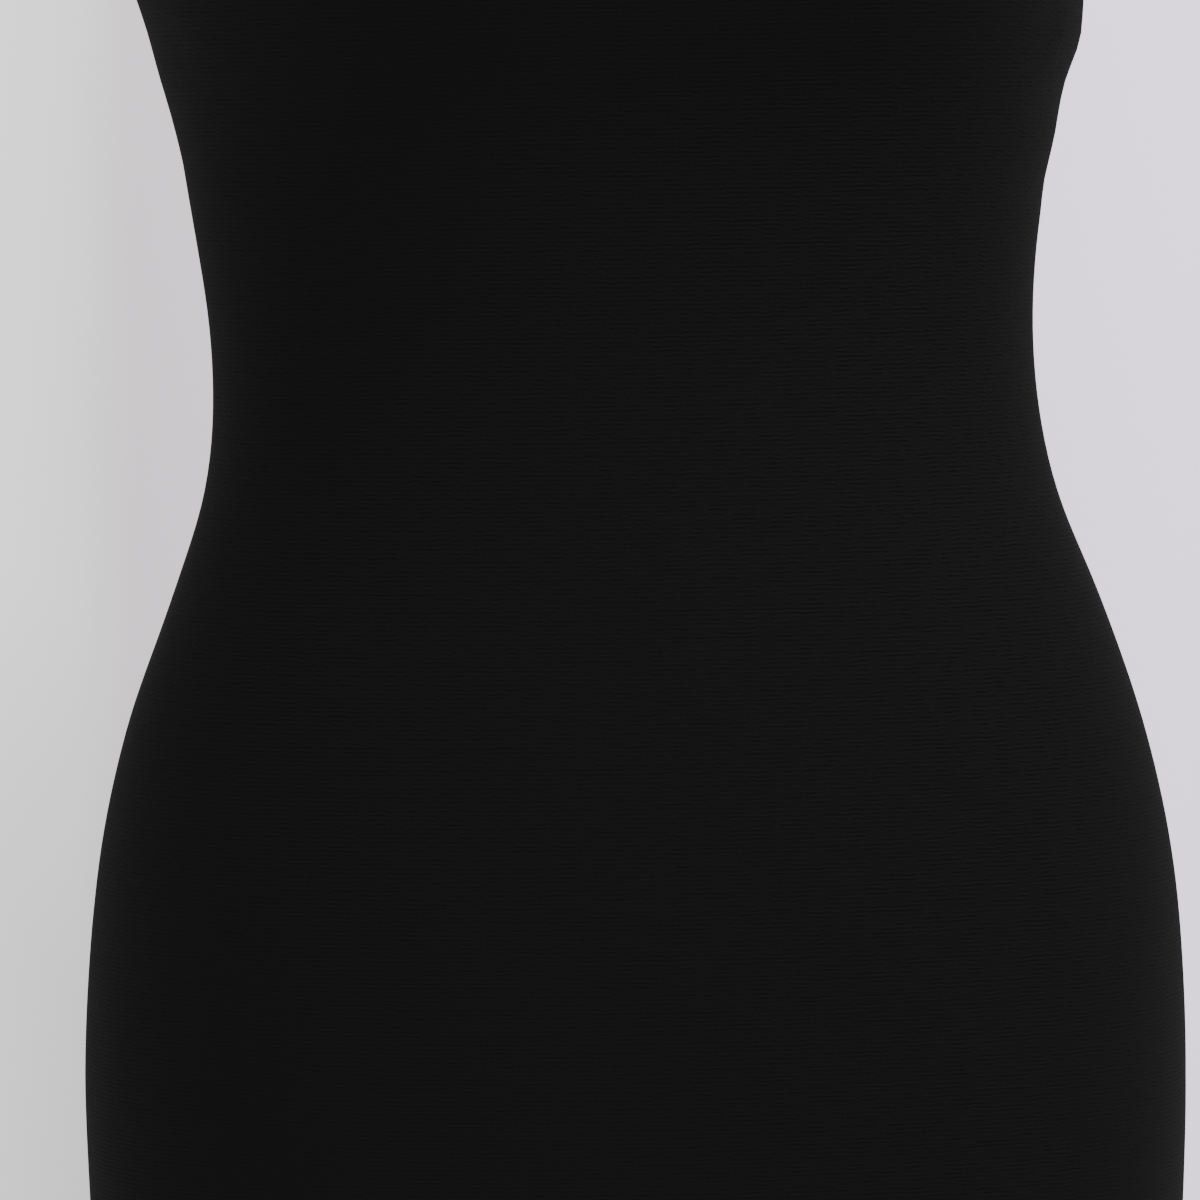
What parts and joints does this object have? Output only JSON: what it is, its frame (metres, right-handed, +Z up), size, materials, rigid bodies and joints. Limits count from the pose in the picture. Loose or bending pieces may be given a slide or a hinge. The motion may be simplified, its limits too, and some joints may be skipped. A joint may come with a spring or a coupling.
{
  "type": "bodycon dress",
  "caption": "Sleeveless, close-fitting pull-on dress in fine rib knit with a scooped neck and a straight hem, hollow, in its worn shape.",
  "frame": {"origin": "midway between the shoulders, at the height of the straps' neck ends, where the wearer holds the dress up", "axes": "+Z up the dress, -Y the way its front faces, +X towards the right side as seen from in front"},
  "size_m": [0.336, 0.25, 0.9401],
  "materials": {
    "rib_knit": "matt black stretch knit with fine crosswise ribs"
  },
  "bodies": {
    "root": {"front_panel": "rib_knit", "back_panel": "rib_knit"}
  },
  "joints": []
}
